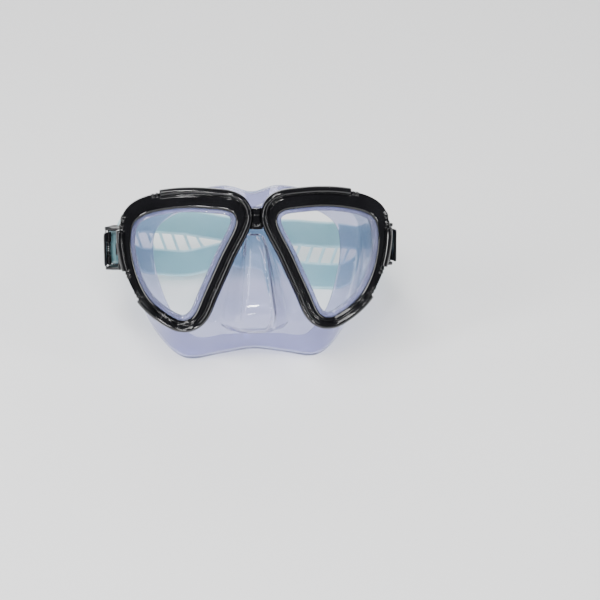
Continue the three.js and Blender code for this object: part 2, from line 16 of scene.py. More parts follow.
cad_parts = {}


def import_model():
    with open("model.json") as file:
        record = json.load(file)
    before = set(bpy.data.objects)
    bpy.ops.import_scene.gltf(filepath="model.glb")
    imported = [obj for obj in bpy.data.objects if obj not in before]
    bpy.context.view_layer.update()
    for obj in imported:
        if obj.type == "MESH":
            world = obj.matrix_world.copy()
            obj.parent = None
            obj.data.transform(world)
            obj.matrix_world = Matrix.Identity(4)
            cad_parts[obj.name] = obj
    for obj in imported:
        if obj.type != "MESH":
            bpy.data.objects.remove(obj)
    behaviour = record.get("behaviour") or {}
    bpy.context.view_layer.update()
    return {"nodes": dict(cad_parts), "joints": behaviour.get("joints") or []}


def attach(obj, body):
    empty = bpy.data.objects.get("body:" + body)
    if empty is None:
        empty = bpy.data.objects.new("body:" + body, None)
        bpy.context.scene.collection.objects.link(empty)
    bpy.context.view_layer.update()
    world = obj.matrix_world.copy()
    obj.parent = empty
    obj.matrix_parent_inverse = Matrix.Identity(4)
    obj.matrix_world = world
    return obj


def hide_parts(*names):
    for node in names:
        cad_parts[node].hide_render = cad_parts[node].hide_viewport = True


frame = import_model()
joints = {joint["name"]: joint for joint in frame["joints"]}

# ---------------------------------------------------------------- driving dimensions, in mm
SWEEP = 0.045  # how fast the windows run back towards the temples
SWEEP_FROM = 12.0  # half the width of the rounded middle of that sweep
PIVOT = np.array([0.0, 25.0, -1.0])  # the buckles' swivel axis, along x

GLASS = 4.0
GLASS_OVER_SIGHT = 3.0  # how far the pane runs out past what is seen through it
GROUND_EDGE = 0.35
FIT = 0.3  # gap between pieces that touch
WALL = 2.0  # thickness of the skirt
SEAL_FRONT = -1.6
SEAL_GROWTH = 4.6  # outside of the clear seal, out from the sight line
BEZEL_LIP = 2.7  # inner edge of the bezel, out from the sight line
BEZEL_FRONT = -4.0
BEAD_FRONT = -5.8
BEAD_WIDTH = 4.0
BEAD_PROUD = 1.8
BEAD_LENGTHS = [(68.0, 309.0), (-16.0, 27.0)]  # degrees round the window's middle, 90 is up
NOTCH = 2.2  # degrees taken by each gap and each small rib at a bead's end
WINDOW_MIDDLE = np.array([45.0, -2.0])
BRIDGE_TOP = 25.2
BRIDGE_BOTTOM = 12.5
FRAME_FRONT = 1.8
FRAME_BACK = 12.0
FRAME_INSET = 0.6  # how far the frame lies inside the bezel's outline
SKIRT_FRONT = FRAME_BACK + FIT

LUG_IN = 76.0  # inner face of the frame's lug
LUG_OUT = 79.3
PLATE_IN = LUG_OUT + FIT  # the buckle's plate
PLATE_OUT = PLATE_IN + 1.8
CHEEK_IN = 11.0  # inner face of a buckle cheek, from the buckle's middle
CHEEK_OUT = 12.8
LUG_ROUND = 9.0  # radius of the lug's round end
STUD = 2.5  # radius of the pivot stud
ROLLER = (83.0, 40.0)
ROLLER_AXLE = 1.0
LEVER_PIN = (87.2, 31.5)
LEVER_PIN_RADIUS = 0.9

STRAP_THICK = 1.6
STRAP_NARROW = 20.0
STRAP_WIDE = 45.0
STRAP_WAIST = 33.0  # its width in the middle of the back
STRAP_BACK = 88.0
STRAP_SAG = 7.5  # how far it hangs at the back, from SAG_FROM on
SAG_FROM = 64.0
STRAP_ROLL = 0.11  # how much lower it hangs towards the wearer's left
STRAP_ARCH = 4.0  # how much higher its middle is
STRAP_STEP = np.array([0.5, 0.5, 0.2])  # spacing of the grid that it is carved on
STRAP_CORNER = 0.6  # rounding along the strap's edges
STRAP_DISH = 0.35  # how much lower its faces are than its rims
RUN_X = 81.0  # the strap beside the buckle, and its free end outside it
TAIL_X = 83.4
KEEPER = (50.0, 55.0)

SIGHT = [
    (14.9, 18.8), (24.4, -2.4), (34, -23.7), (40.2, -36.8), (43.8, -38.7), (51, -35.2),
    (60.5, -27), (66.9, -15.5), (70.3, -3), (71, 8.5), (69.2, 15.6), (64, 19.2),
    (53, 21.8), (40, 22.8), (28, 22.2), (17.2, 20.7),
]  # the edge of what is seen through the left window, in x and z

SKIRT_ROOT = [
    (0, 21.5), (16, 28.5), (39, 31), (62, 26.5), (73.5, 17), (75.3, 4),
    (73.5, -12), (67, -27), (56, -40), (42, -44.5), (22, -45.5), (0, -45.5),
]  # the left half of the skirt's outline where it leaves the frame, in x and z

SKIRT_BEND = [
    (0, 25, 33), (15, 26.5, 37), (38, 31, 32.8), (60, 39, 24), (72, 46, 12),
    (74.5, 47, -6), (70.5, 43, -28), (60, 35.5, -53), (42, 28.5, -70), (20, 24.5, -67),
    (0, 23.5, -64),
]  # the left half of the face seal's outer bend
SEAL_MIDDLE = np.array([0.0, -9.0])

NOSE_LEVELS = [
    (-49, 6, 16, 7), (-46.5, 9, 20.5, -1), (-38.5, 10.6, 21, -12.5), (-35, 10.3, 20.3, -13.5),
    (-18, 8.6, 16.5, -8), (0, 6.6, 9.5, -1), (6, 5, 7.2, 4), (9, 3.2, 5.2, 9),
]  # the nose pocket from below: height, half widths of its front and base, and how far forward
NOSE_FILLET = 3.5  # between the nose pocket and the skirt's wall
SEAL_FILLET = 0.8
LIP = 5.0  # how far the feathered lip turns in from the face seal's bend
NOSE_DROOP = 3.0  # how much lower its underside is in the middle than at its sides

STRAP_ROUTE = [
    (TAIL_X, 66), (TAIL_X, 58), (TAIL_X, 50.5), (84.8, 45), (86, 40), (85.1, 37.9), (83, 37),
    (80.9, 37.9), (80, 40), (80.6, 45), (RUN_X, 50.5), (RUN_X, 58), (RUN_X, 65), (78.8, 72.5),
    (72, 79.5), (58, 84), (30, 87.3), (0, STRAP_BACK),
]  # the strap from its left end to the middle of the back, seen from above

SPLIT_FROM = 12.0  # the split on each side of the strap's middle, and the ribs across it
SPLIT_TO = 76.0
SPLIT_HEIGHT = 10.0
SPLIT_TAPER = 2.5  # it rises to its full height in 1/2.5 of its length from the middle
SPLIT_ROUND = 6.0  # and closes in a round end over the last 1/6
RIB_FROM = 28.0
RIB_PITCH = 8.1
RIB_WIDTH = 2.0
RIB_SLANT = 3.6


# ---------------------------------------------------------------- frames and curves
back = np.array(joints["keeper_slide_left"]["axis"])
mask_axes = np.array([[1.0, 0.0, 0.0], back, np.cross([1.0, 0.0, 0.0], back)])
pivot_at = np.array(joints["strap_swing"]["pos_m"])


def place(points):
    """Points in the mask's own frame, in mm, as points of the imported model, in metres."""
    return pivot_at + (np.asarray(points, float) - PIVOT) @ mask_axes / 1000.0


def swept(points):
    """The flat front run back towards the temples, which leaves each window flat."""
    points = np.array(points, float)
    x = np.abs(points[..., 0])
    middle = SWEEP * x * x / (2 * SWEEP_FROM)
    points[..., 1] += np.where(x > SWEEP_FROM, SWEEP * (x - SWEEP_FROM / 2), middle)
    return points


def smooth_step(value, low, high):
    share = np.clip((value - low) / (high - low), 0.0, 1.0)
    return share * share * (3 - 2 * share)


def spline(points, count, closed=False, per_span=40):
    """count points at even distances along a centripetal Catmull-Rom curve."""
    points = np.array(points, float)
    if closed:
        control = np.vstack([points[-1], points, points[0], points[1]])
    else:
        control = np.vstack([2 * points[0] - points[1], points, 2 * points[-1] - points[-2]])
    run = []
    for i in range(len(control) - 3):
        p = control[i : i + 4]
        knots = np.concatenate([[0], np.cumsum(np.linalg.norm(np.diff(p, axis=0), axis=1) ** 0.5)])
        t = np.linspace(knots[1], knots[2], per_span, endpoint=False)[:, None]

        def between(a, b, low, high):
            return (a * (knots[high] - t) + b * (t - knots[low])) / (knots[high] - knots[low])

        first = between(p[0], p[1], 0, 1)
        second = between(p[1], p[2], 1, 2)
        third = between(p[2], p[3], 2, 3)
        run.append(between(between(first, second, 0, 2), between(second, third, 1, 3), 1, 2))
    line = np.vstack(run + [points[:1] if closed else points[-1:]])
    far = np.concatenate([[0], np.cumsum(np.linalg.norm(np.diff(line, axis=0), axis=1))])
    wanted = np.linspace(0, far[-1], count, endpoint=not closed)
    return np.stack([np.interp(wanted, far, line[:, k]) for k in range(line.shape[1])], axis=1)


def softened(loop, passes):
    """A closed loop with its small kinks averaged out."""
    for _ in range(passes):
        loop = 0.5 * loop + 0.25 * (np.roll(loop, 1, axis=0) + np.roll(loop, -1, axis=0))
    return loop


def outward(loop):
    """Which way is out at each point of an anticlockwise loop in x and z."""
    along = np.roll(loop, -1, axis=0) - np.roll(loop, 1, axis=0)
    out = np.stack([along[:, 1], -along[:, 0]], axis=1)
    return out / np.linalg.norm(out, axis=1, keepdims=True)


LOOP_STEPS = 720
# The bezel is widest over the brow and towards the nose.
sight_loop = softened(spline(SIGHT, LOOP_STEPS, closed=True), 30)
sight_out = outward(sight_loop)
bead_edge = (
    11.2
    + 2.7 * sight_out[:, 1]
    + 1.1 * sight_out[:, 1] ** 2
    + 1.2 * np.maximum(0, -sight_out[:, 0])
)
bezel_edge = bead_edge - BEAD_PROUD
frame_edge = bezel_edge - FRAME_INSET


# ---------------------------------------------------------------- meshes
def mesh_object(name, points, faces):
    """A smooth piece from points in metres and faces as lists of indices."""
    data = bpy.data.meshes.new(name)
    data.from_pydata([tuple(p) for p in points], [], [tuple(int(i) for i in f) for f in faces])
    data.validate()
    data.update()
    for polygon in data.polygons:
        polygon.use_smooth = True
    piece = bpy.data.objects.new(name, data)
    bpy.context.scene.collection.objects.link(piece)
    return piece


def grid_faces(rows, columns, wrap_rows, wrap_columns):
    """The quads of a grid of rows x columns points."""
    r = np.arange(rows if wrap_rows else rows - 1)
    c = np.arange(columns if wrap_columns else columns - 1)
    r, c = np.meshgrid(r, c, indexing="ij")
    r2 = (r + 1) % rows
    c2 = (c + 1) % columns
    quads = np.stack([r * columns + c, r2 * columns + c, r2 * columns + c2, r * columns + c2], axis=-1)
    return quads.reshape(-1, 4)


def mirrored(points):
    points = np.array(points, float)
    points[..., 0] *= -1
    return points


def ring_solid(name, section, mirror=False):
    """A closed ring round a window. section[i, k] is (n, y): n mm out from the sight line."""
    count, corners = section.shape[:2]
    points = np.empty((count, corners, 3))
    points[..., 0] = sight_loop[:, None, 0] + sight_out[:, None, 0] * section[..., 0]
    points[..., 2] = sight_loop[:, None, 1] + sight_out[:, None, 1] * section[..., 0]
    points[..., 1] = section[..., 1]
    points = swept(points)
    faces = grid_faces(count, corners, True, True)
    if mirror:
        points = mirrored(points)
    else:
        faces = faces[:, ::-1]
    return mesh_object(name, place(points.reshape(-1, 3)), faces)


def rounded_section(corners, steps=5):
    """A closed outline with round corners. Each corner is (n, y, radius), all arrays of one length
    or numbers, so that the outline can change along a ring."""
    count = max(np.size(value) for corner in corners for value in corner)
    full = np.array([[np.broadcast_to(v, count) for v in corner] for corner in corners])
    full = full.transpose(2, 0, 1)
    rows = []
    total = full.shape[1]
    for k in range(total):
        here = full[:, k, :2]
        radius = full[:, k, 2:]
        to_last = full[:, k - 1, :2] - here
        to_next = full[:, (k + 1) % total, :2] - here
        last_far = np.linalg.norm(to_last, axis=1, keepdims=True)
        next_far = np.linalg.norm(to_next, axis=1, keepdims=True)
        reach = np.minimum(radius, 0.48 * np.minimum(last_far, next_far))
        start = here + to_last / last_far * reach
        end = here + to_next / next_far * reach
        for step in range(steps):
            t = step / (steps - 1)
            rows.append((1 - t) ** 2 * start + 2 * t * (1 - t) * here + t * t * end)
    return np.stack(rows, axis=1)


def bead_strength(lengths):
    """1 along the given lengths of the bezel and 0 elsewhere, by the angle round the window."""
    offset = sight_loop - WINDOW_MIDDLE
    angle = np.degrees(np.arctan2(offset[:, 1], offset[:, 0]))
    strength = np.zeros(len(angle))
    for start, end in lengths:
        half = (end - start) / 2
        far = np.abs((angle - (start + end) / 2 + 180) % 360 - 180)
        strength = np.maximum(strength, 1 - smooth_step(far, half - 0.6, half + 0.6))
    return strength


def notch_ribs():
    """The two small ribs past each end of a bead."""
    ribs = []
    for start, end in BEAD_LENGTHS:
        for gaps in (1, 3):
            ribs.append((start - (gaps + 1) * NOTCH, start - gaps * NOTCH))
            ribs.append((end + gaps * NOTCH, end + (gaps + 1) * NOTCH))
    return ribs


def bezel(name, mirror):
    """A glossy ring: a lip over the clear seal, a flat face, a groove and the raised bead."""
    bead = bead_strength(BEAD_LENGTHS)
    rib = bead_strength(notch_ribs())
    edge = bezel_edge
    height = bead + 0.5 * rib
    top = BEZEL_FRONT + height * (BEAD_FRONT - BEZEL_FRONT)
    outer = edge + (bead + 0.25 * rib) * BEAD_PROUD
    inner = edge + BEAD_PROUD - BEAD_WIDTH
    middle = (inner + outer) / 2
    groove = BEZEL_FRONT + 0.7 * bead
    back_of_bead = FRAME_FRONT - FIT - 1.2 * bead
    section = rounded_section(
        [
            (BEZEL_LIP, SEAL_FRONT - FIT, 0.3),
            (BEZEL_LIP, BEZEL_FRONT + 0.9, 0.9),
            (BEZEL_LIP + 1.3, BEZEL_FRONT, 0.9),
            (inner - 1.2, BEZEL_FRONT, 0.4),
            (inner - 0.7, groove, 0.3),
            (inner, groove, 0.3),
            (inner + 0.1, top + 1.2 * height, 0.8),
            (middle - 0.6, top, 1.3),
            (middle + 0.6, top, 1.3),
            (outer, top + 1.4 * height, 1.0),
            (outer, back_of_bead, 0.5),
            (edge - 0.2, FRAME_FRONT - FIT - 0.6 * bead, 0.4),
            (edge - FRAME_INSET, FRAME_FRONT - FIT, 0.3),
            (SEAL_GROWTH + FIT, FRAME_FRONT - FIT, 0.3),
            (SEAL_GROWTH + FIT, SEAL_FRONT - FIT, 0.3),
        ]
    )
    return ring_solid(name, section, mirror)


def frame_ring(name, mirror):
    """The frame round one window, with a shallow step halfway back."""
    section = rounded_section(
        [
            (SEAL_GROWTH + FIT, FRAME_FRONT, 0.4),
            (frame_edge, FRAME_FRONT, 0.6),
            (frame_edge, FRAME_FRONT + 3.6, 0.4),
            (frame_edge - 0.7, FRAME_FRONT + 4.2, 0.4),
            (frame_edge - 0.7, FRAME_BACK, 1.6),
            (SEAL_GROWTH + FIT, FRAME_BACK, 0.4),
        ]
    )
    return ring_solid(name, section, mirror)


def window(name, mirror):
    """A flat pane with ground edges."""
    shares = (0.55, 1.0)  # how far from the middle the rings on its faces lie
    edge = sight_loop + sight_out * GLASS_OVER_SIGHT
    inner_edge = sight_loop + sight_out * (GLASS_OVER_SIGHT - GROUND_EDGE)
    middle = edge.mean(axis=0)

    def ring(loop, y):
        return np.stack([loop[:, 0], np.full(len(loop), y), loop[:, 1]], axis=1)

    rings = [ring(middle + (inner_edge - middle) * share, 0.0) for share in shares]
    rings += [ring(edge, GROUND_EDGE), ring(edge, GLASS - GROUND_EDGE)]
    rings += [ring(middle + (inner_edge - middle) * share, GLASS) for share in reversed(shares)]
    count = len(edge)
    points = np.vstack(rings + [[[middle[0], 0, middle[1]]], [[middle[0], GLASS, middle[1]]]])
    faces = [tuple(f) for f in grid_faces(len(rings), count, False, True)]
    front, rear = len(points) - 2, len(points) - 1
    last = (len(rings) - 1) * count
    for i in range(count):
        j = (i + 1) % count
        faces.append((front, i, j))
        faces.append((rear, last + j, last + i))
    points = swept(points)
    if mirror:
        points = mirrored(points)
        faces = [f[::-1] for f in faces]
    piece = mesh_object(name, place(points), faces)
    sharp_where_turned(piece, 30)
    return piece


def sharp_where_turned(piece, degrees):
    """Shades a piece smooth except across edges that turn by more than an angle."""
    piece.data.set_sharp_from_angle(angle=math.radians(degrees))


# ---------------------------------------------------------------- distance fields
SOFT_VOXEL = 0.55
HARD_VOXEL = 0.25
BAND = 9  # voxels on each side of a surface that hold its distance


def lofted(rings):
    """A closed skin through rings of points, the ends filled round their middles."""
    rings = [np.asarray(ring, float) for ring in rings]
    count = len(rings[0])
    points = np.vstack(rings + [rings[0].mean(axis=0), rings[-1].mean(axis=0)])
    quads = grid_faces(len(rings), count, False, True)
    first, last = len(points) - 2, len(points) - 1
    start = (len(rings) - 1) * count
    i = np.arange(count)
    j = (i + 1) % count
    front = np.stack([np.full(count, first), i, j], axis=1)
    rear = np.stack([np.full(count, last), start + j, start + i], axis=1)
    triangles = np.vstack([front, rear, quads[:, [0, 1, 2]], quads[:, [0, 2, 3]]])
    return points, triangles


class Space:
    """A block of space on which shapes are added and cut as signed distances in mm."""

    def __init__(self, low, high, voxel):
        self.voxel = voxel
        self.first = np.floor(np.array(low) / voxel).astype(int)
        self.shape = tuple(np.ceil(np.array(high) / voxel).astype(int) - self.first + 1)

    def distance(self, shape):
        points, triangles = shape
        grid = vdb.FloatGrid.createLevelSetFromPolygons(
            np.ascontiguousarray(points, np.float32),
            triangles=np.ascontiguousarray(triangles, np.uint32),
            transform=vdb.createLinearTransform(voxelSize=self.voxel),
            halfWidth=BAND,
        )
        values = np.empty(self.shape, np.float32)
        grid.copyToArray(values, ijk=tuple(int(v) for v in self.first))
        return values

    def skin(self, values):
        """The surface where the distances pass through zero, as points in mm and faces."""
        grid = vdb.FloatGrid(float(values.max()))
        grid.copyFromArray(np.ascontiguousarray(values), ijk=tuple(int(v) for v in self.first))
        grid.transform = vdb.createLinearTransform(voxelSize=self.voxel)
        points, triangles, quads = grid.convertToPolygons(isovalue=0.0, adaptivity=0.0)
        return points.astype(float), [tuple(f) for f in quads] + [tuple(f) for f in triangles]


def prism(outline, axis, low, high):
    """A flat outline in the other two axes, drawn out along axis 0, 1 or 2."""
    return lofted([np.insert(np.array(outline, float), axis, at, axis=1) for at in (low, high)])


def block(low, high):
    (x0, y0, z0), (x1, y1, z1) = low, high
    return prism([(x0, y0), (x1, y0), (x1, y1), (x0, y1)], 2, z0, z1)


def circle(middle, radius, sides=64):
    turn = np.linspace(0, 2 * math.pi, sides, endpoint=False)
    return np.stack([middle[0] + radius * np.cos(turn), middle[1] + radius * np.sin(turn)], axis=1)


def carved(space, added, removed):
    """The distances of some shapes joined, less some others."""
    values = np.minimum.reduce([space.distance(shape) for shape in added])
    for shape in removed:
        values = np.maximum(values, -space.distance(shape))
    return values


def moulding(name, low, high, added, removed, ease, mirror=False):
    """A hard piece with eased edges, from the shapes that are joined and cut away."""
    space = Space(low, high, HARD_VOXEL)
    points, faces = space.skin(blurred(carved(space, added, removed), ease))
    if mirror:
        points = mirrored(points)
        faces = [face[::-1] for face in faces]
    return mesh_object(name, place(points), faces)


def melted(a, b, radius):
    """The union of two shapes with a fillet between them."""
    share = np.clip(0.5 + 0.5 * (b - a) / radius, 0, 1)
    return b * (1 - share) + a * share - radius * share * (1 - share)


def blurred(values, passes):
    """Distances averaged with their neighbours, which eases edges."""
    for _ in range(passes):
        for axis in range(3):
            padded = np.concatenate(
                [values.take([0], axis), values, values.take([-1], axis)], axis=axis
            )
            low = padded.take(range(0, values.shape[axis]), axis)
            high = padded.take(range(2, values.shape[axis] + 2), axis)
            values = 0.5 * values + 0.25 * (low + high)
    return values


def both_sides(half):
    """A closed loop from its left half, which starts at the top and ends at the bottom."""
    half = np.array(half, float)
    other = half[1:-1][::-1].copy()
    other[:, 0] *= -1
    return np.vstack([half, other])


# ---------------------------------------------------------------- skirt
def drawn_in(loop, inset, share, back_by):
    """A seal loop drawn in towards the middle of the face and moved back."""
    loop = np.array(loop)
    out = loop[:, [0, 2]] - SEAL_MIDDLE
    far = np.linalg.norm(out, axis=1, keepdims=True)
    moved = SEAL_MIDDLE + out / far * (far - inset) * share
    return np.stack([moved[:, 0], loop[:, 1] + back_by, moved[:, 1]], axis=1)


def window_solid(growth, low, high, mirror):
    """A solid with the window's outline, growth mm out from the sight line, from low to high in y."""
    loop = sight_loop + sight_out * np.reshape(growth, (-1, 1))
    if mirror:
        loop = mirrored(loop)[::-1]
    rings = [np.stack([loop[:, 0], np.full(len(loop), y), loop[:, 1]], axis=1) for y in (low, high)]
    return lofted(rings)


def nose_solid(grow, base):
    """The nose pocket: a rounded trapezium at each height."""
    levels = spline(NOSE_LEVELS, 60)
    rings = []
    for z, front, wide, reach in levels:
        front, wide, reach = front + 0.8 * grow, wide + grow, reach - grow
        side = front + 0.25 * (wide - front)
        depth = reach + 0.32 * (SKIRT_FRONT - reach)
        bend = min(2.6, front * 0.7)
        half = np.array(
            [
                (wide, base),
                (wide, SKIRT_FRONT),
                (side, depth),
                (front, reach + bend),
                (front - bend, reach),
            ]
        )
        line = np.vstack([half, half[::-1] * [-1, 1]])
        low = min(max((NOSE_LEVELS[2][0] - z) / 8, 0), 1)
        height = z - NOSE_DROOP * low * np.maximum(0, 1 - (line[:, 0] / 20) ** 2)
        rings.append(np.stack([line[:, 0], line[:, 1], height], axis=1))
    return lofted(rings)


def skirt():
    """One clear moulding: window seals, nose pocket, walls and the flanged face seal."""
    space = Space((-80, -19, -76), (80, 58, 42), SOFT_VOXEL)
    root = both_sides([(x, SKIRT_FRONT, z) for x, z in SKIRT_ROOT])
    root = softened(spline(root, LOOP_STEPS, closed=True), 40)
    bend = softened(spline(both_sides(SKIRT_BEND), LOOP_STEPS, closed=True), 40)
    body = space.distance(
        lofted(
            [
                root,
                0.55 * root + 0.45 * bend - [0, 1.0, 0],
                bend,
                drawn_in(bend, 0.3, 1, 4),
                drawn_in(bend, 2.2, 1, 6.4),
                drawn_in(bend, LIP, 1, 7),
                drawn_in(bend, LIP, 0.8, 6),
            ]
        )
    )
    nose = space.distance(nose_solid(0, SKIRT_FRONT + 6))
    solid = melted(body, nose, NOSE_FILLET)
    shell = np.maximum(solid, -(solid + WALL))
    opening = [drawn_in(bend, LIP, 0.86, 2), drawn_in(bend, LIP, 0.84, 12)]
    shell = np.maximum(shell, -space.distance(lofted(opening)))
    for mirror in (False, True):
        tube = space.distance(
            window_solid(SEAL_GROWTH, SEAL_FRONT, SKIRT_FRONT + WALL, mirror)
        )
        shell = melted(shell, tube, SEAL_FILLET)
        for growth, low, high in (
            (0.0, SEAL_FRONT - 3, 6.0),
            (SEAL_GROWTH - WALL, GLASS + 1.6, SKIRT_FRONT + WALL + 3),
            (GLASS_OVER_SIGHT + FIT, -FIT, GLASS + FIT),
        ):
            cut = space.distance(window_solid(growth, low, high, mirror))
            shell = np.maximum(shell, -cut)
    points, faces = space.skin(blurred(shell, 1))
    return mesh_object("skirt_shell", place(swept(points)), faces)


# ---------------------------------------------------------------- hard mouldings
def lug(name, mirror):
    """The frame's arm that carries a buckle, with a thinned panel in its outer face."""
    low, high = PIVOT[2] - LUG_ROUND, PIVOT[2] + LUG_ROUND
    axle = (PIVOT[1], PIVOT[2])
    added = [
        block((LUG_IN, FRAME_FRONT + 3, low), (LUG_OUT, PIVOT[1], high)),
        prism(circle(axle, LUG_ROUND), 0, LUG_IN, LUG_OUT),
    ]
    removed = [
        block((LUG_IN - 1, PIVOT[1] + 5, low - 1), (LUG_OUT + 1, PIVOT[1] + 12, high + 1)),
        prism(circle(axle, STUD + FIT), 0, LUG_IN - 1, LUG_OUT + 1),
        block((LUG_OUT - 0.6, FRAME_BACK + 1.5, low + 2), (LUG_OUT + 1, 16.8, high - 2)),
    ]
    space_low = (LUG_IN - 2, FRAME_FRONT, low - 2)
    space_high = (LUG_OUT + 2, PIVOT[1] + 11, high + 2)
    return moulding(name, space_low, space_high, added, removed, 3, mirror)


def bridge(name):
    """The block that joins the two halves of the frame over the nose."""
    half = 6.5
    outline = [
        (-half, BRIDGE_BOTTOM), (half, BRIDGE_BOTTOM), (half + 3, BRIDGE_TOP), (-half - 3, BRIDGE_TOP),
    ]
    added = [prism(outline, 1, FRAME_FRONT, FRAME_BACK)]
    arch = [prism(circle((0, BRIDGE_BOTTOM - 7), 8.4), 1, FRAME_FRONT - 1, FRAME_BACK + 1)]
    return moulding(name, (-12, 0, 9), (12, 14, 28), added, arch, 4)


def bridge_cover(name):
    """The small plate between the two bezels, with a recessed panel."""
    outline = [(-6, BRIDGE_BOTTOM), (6, BRIDGE_BOTTOM), (9, BRIDGE_TOP), (-9, BRIDGE_TOP)]
    removed = [
        window_solid(bead_edge + FIT, BEAD_FRONT - 1, FRAME_FRONT + 1, mirror)
        for mirror in (False, True)
    ]
    panel = [(-2.2, 15), (2.2, 15), (2.9, 21), (-2.9, 21)]
    removed.append(prism(panel, 1, BEZEL_FRONT, BEZEL_FRONT + 2.3))
    added = [prism(outline, 1, BEZEL_FRONT + 1.4, FRAME_FRONT - FIT)]
    return moulding(name, (-10, -6, 10), (10, 4, 28), added, removed, 2)


def stud(name, mirror):
    """The buckle's axle, with a shallow domed head and a slot in it."""
    axle = (PIVOT[1], PIVOT[2])
    head = PLATE_OUT + FIT
    added = [
        prism(circle(axle, STUD), 0, LUG_IN, head + 1),
        prism(circle(axle, 4), 0, head, head + 0.8),
        prism(circle(axle, 3.2), 0, head, head + 1.2),
    ]
    slot_low = (head + 0.5, axle[0] - 0.5, axle[1] - 2.4)
    slot_high = (head + 3, axle[0] + 0.5, axle[1] + 2.4)
    removed = [block(slot_low, slot_high)]
    low = (LUG_IN - 1, axle[0] - 6, axle[1] - 6)
    high = (head + 3, axle[0] + 6, axle[1] + 6)
    return moulding(name, low, high, added, removed, 1, mirror)


def buckle_body(name, mirror):
    """The swivelling plate and its two cheeks, with bosses round the pins."""
    middle = PIVOT[2]
    cheek = [
        (PLATE_IN, 26), (PLATE_IN + 5.2, 26), (PLATE_IN + 9.2, 29.5), (PLATE_IN + 9.2, 34),
        (PLATE_IN + 6.4, 43), (PLATE_IN, 43),
    ]
    axle = (PIVOT[1], PIVOT[2])
    added = [
        prism(circle(axle, 8.5), 0, PLATE_IN, PLATE_OUT),
        block((PLATE_IN, PIVOT[1], middle - CHEEK_OUT), (PLATE_OUT, 35.5, middle + CHEEK_OUT)),
        prism(cheek, 2, middle + CHEEK_IN, middle + CHEEK_OUT),
        prism(cheek, 2, middle - CHEEK_OUT, middle - CHEEK_IN),
    ]
    for pin, radius in ((ROLLER, 2.4), (LEVER_PIN, 2.0)):
        for low, high in ((CHEEK_IN, CHEEK_OUT + 0.4), (-CHEEK_OUT - 0.4, -CHEEK_IN)):
            added.append(prism(circle(pin, radius), 2, middle + low, middle + high))
    removed = [
        prism(circle(axle, STUD + FIT), 0, LUG_OUT, PLATE_OUT + 1),
        prism(circle(ROLLER, ROLLER_AXLE + FIT), 2, -20, 20),
        prism(circle(LEVER_PIN, LEVER_PIN_RADIUS + FIT), 2, -20, 20),
    ]
    low = (PLATE_IN - 1, 15, middle - CHEEK_OUT - 2)
    high = (PLATE_IN + 11, 45, middle + CHEEK_OUT + 2)
    return moulding(name, low, high, added, removed, 2, mirror)


def lever(name, mirror):
    """The release lever: a plate with thumb ridges and a hollow for its spring."""
    x, y = LEVER_PIN
    middle = PIVOT[2]
    half = STRAP_NARROW / 2
    side = [
        (x + 1.2, 22.5), (x + 2.5, 21.5), (x + 2, 31), (x + 1.8, 46), (x + 0.5, 46), (x + 0.5, 30),
    ]
    pawl = [(x + 0.8, 41), (x, 42.2), (x + 0.8, 44)]
    added = [
        prism(side, 2, middle - half, middle + half),
        prism(circle(LEVER_PIN, 1.9), 2, middle - half, middle + half),
        prism(pawl, 2, middle - 8, middle + 8),
    ]
    for ridge in range(5):
        at = (x + 2.3 - 0.06 * ridge, 23 + 1.5 * ridge)
        added.append(prism(circle(at, 0.5, 24), 2, middle - half + 1.2, middle + half - 1.2))
    removed = [
        block((x - 3.4, 28.6, middle - 4), (x + 0.9, 34.4, middle + 4)),
        prism(circle(LEVER_PIN, LEVER_PIN_RADIUS + FIT), 2, -20, 20),
        block((x + 1.5, 35, middle - half + 2), (x + 3, 44, middle + half - 2)),
    ]
    low = (x - 4, 20, middle - half - 2)
    high = (x + 5, 48, middle + half + 2)
    return moulding(name, low, high, added, removed, 2, mirror)


def keeper(name, mirror):
    """The loop that holds the strap's free end, with a raised band round its outside."""
    low_x = RUN_X - STRAP_THICK / 2 - FIT
    high_x = TAIL_X + STRAP_THICK / 2 + FIT
    half = STRAP_NARROW / 2 + FIT
    y0, y1 = KEEPER
    middle = PIVOT[2]

    def hoop(grow, start, end):
        return block(
            (low_x - grow, start, middle - half - grow), (high_x + grow, end, middle + half + grow)
        )

    added = [hoop(1.2, y0, y1), hoop(1.5, y0 + 1.8, y1 - 1.8)]
    low = (low_x - 3, y0 - 2, middle - half - 3)
    high = (high_x + 3, y1 + 2, middle + half + 3)
    return moulding(name, low, high, added, [hoop(0, y0 - 1, y1 + 1)], 3, mirror)


# ---------------------------------------------------------------- strap
def strap_line():
    """The strap's middle line in x and y, its running distance and its side directions."""
    left = np.array(STRAP_ROUTE, float)
    right = left[:-1][::-1] * [-1, 1]
    line = spline(np.vstack([left, right]), 2400)
    along = np.gradient(line, axis=0)
    along /= np.linalg.norm(along, axis=1, keepdims=True)
    side = np.stack([-along[:, 1], along[:, 0]], axis=1)
    far = np.concatenate([[0], np.cumsum(np.linalg.norm(np.diff(line, axis=0), axis=1))])
    return line, far, side


def split_half(distance):
    """Half the split's height, falling below zero past either end of the split."""
    share = (distance - SPLIT_FROM) / (SPLIT_TO - SPLIT_FROM)
    inside = (share > 0) & (share < 1)
    rounded = np.sqrt(np.clip((1 - share) * SPLIT_ROUND, 0, None))
    rise = np.minimum(np.minimum(1, share * SPLIT_TAPER), rounded)
    beyond = np.maximum(SPLIT_FROM - distance, distance - SPLIT_TO)
    return np.where(inside, SPLIT_HEIGHT / 2 * rise, -beyond)


